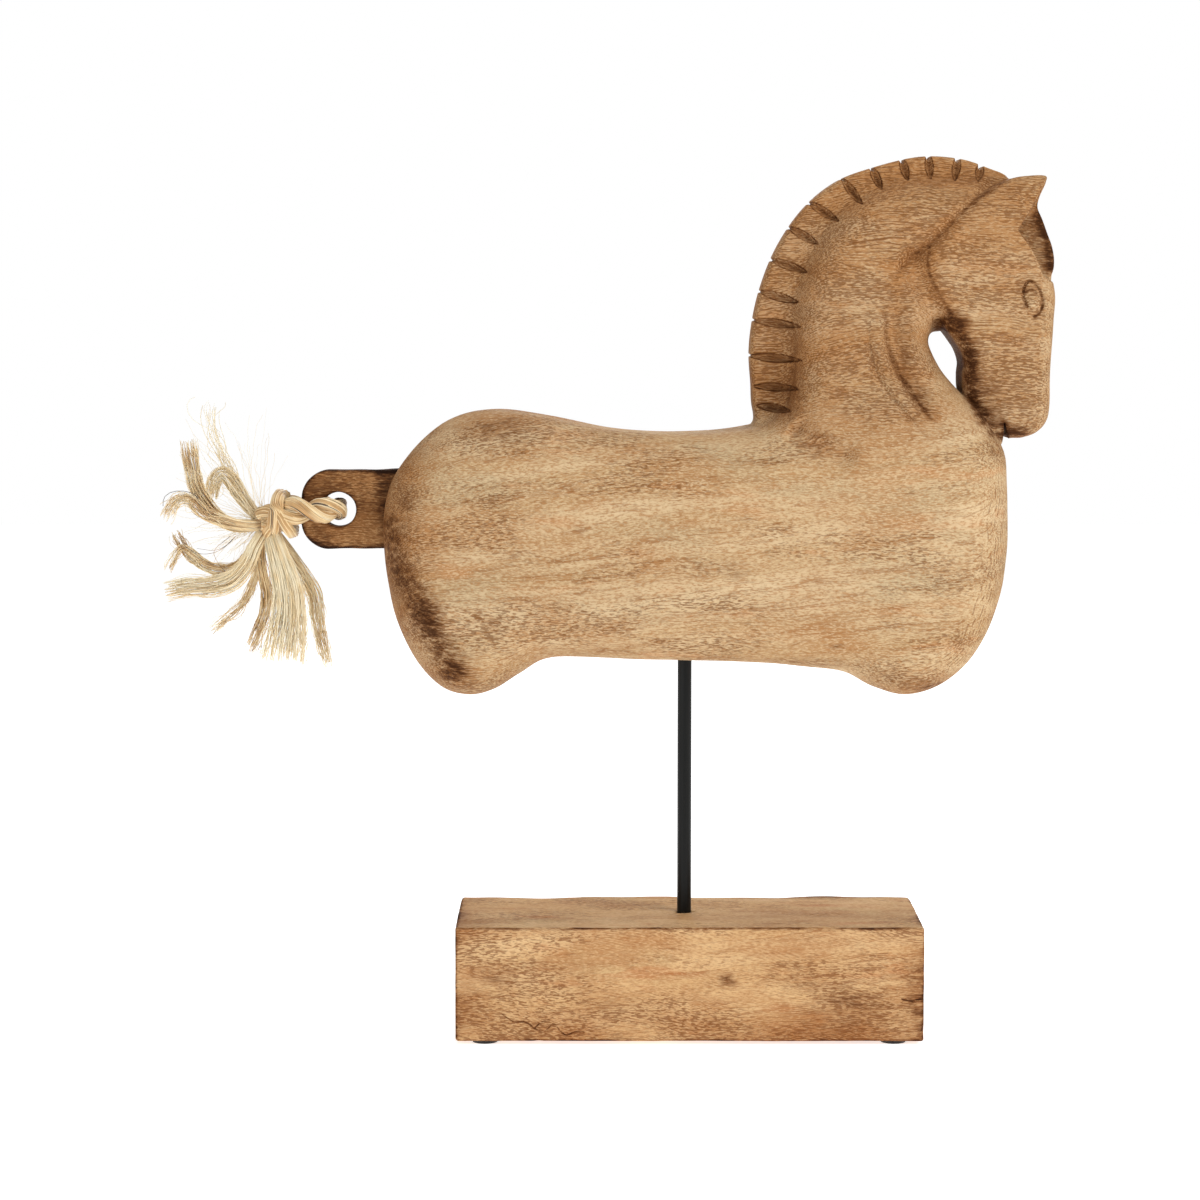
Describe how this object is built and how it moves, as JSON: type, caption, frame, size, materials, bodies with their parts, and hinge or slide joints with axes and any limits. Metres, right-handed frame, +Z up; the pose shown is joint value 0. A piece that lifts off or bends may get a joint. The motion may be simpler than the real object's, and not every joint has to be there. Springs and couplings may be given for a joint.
{
  "type": "carved horse figurine on stand",
  "caption": "Carved wooden horse torso with a notched mane and a frayed rope tail, turning on a thin rod above a plain rectangular wood block.",
  "frame": {"origin": "on the table, at the centre of the bounding box of everything but the rope tail; the rod stands 3 mm towards +X of it", "axes": "+Z up along the rod, +X towards the front of the horse, +Y across to its left side"},
  "size_m": [0.4993, 0.1, 0.4964],
  "materials": {
    "mango_wood": "satin oiled mango wood, scorched patches, fine dark pores",
    "base_wood": "satin oiled mango wood block, sawn faces, burnt edges",
    "tail_tab_wood": "darker stained wood with burnt edges",
    "black_steel": "satin black powder coat",
    "zinc_plated_steel": "bright zinc plate",
    "black_felt": "pressed black felt",
    "sisal": "pale golden plant fibre with a soft sheen"
  },
  "bodies": {
    "stand": {"base_block": "base_wood", "foot_pad_1": "black_felt", "foot_pad_2": "black_felt", "foot_pad_3": "black_felt", "foot_pad_4": "black_felt", "stand_rod": "black_steel", "base_washer": "zinc_plated_steel", "base_nut": "zinc_plated_steel", "belly_washer": "black_steel"},
    "horse": {"horse_body": "mango_wood", "tail_tab": "tail_tab_wood", "belly_insert": "zinc_plated_steel"},
    "tail": {"tail_rope": "sisal", "tail_knot": "sisal", "tuft_up_thick": "sisal", "tuft_curl": "sisal", "tuft_wisp": "sisal", "tuft_left": "sisal", "tuft_loop": "sisal", "tuft_broad_left": "sisal", "tuft_thin": "sisal", "tuft_grey": "sisal", "tuft_broad_down": "sisal", "tuft_right": "sisal"}
  },
  "joints": [
    {"name": "horse_turn", "type": "hinge", "parent": "stand", "child": "horse", "pos_m": [0.003, 0, 0.2145], "axis": [0, 0, 1], "continuous": true},
    {"name": "tail_swing", "type": "hinge", "parent": "horse", "child": "tail", "pos_m": [-0.193, 0, 0.298], "axis": [0, 1, 0], "range_deg": [-20, 60]}
  ]
}
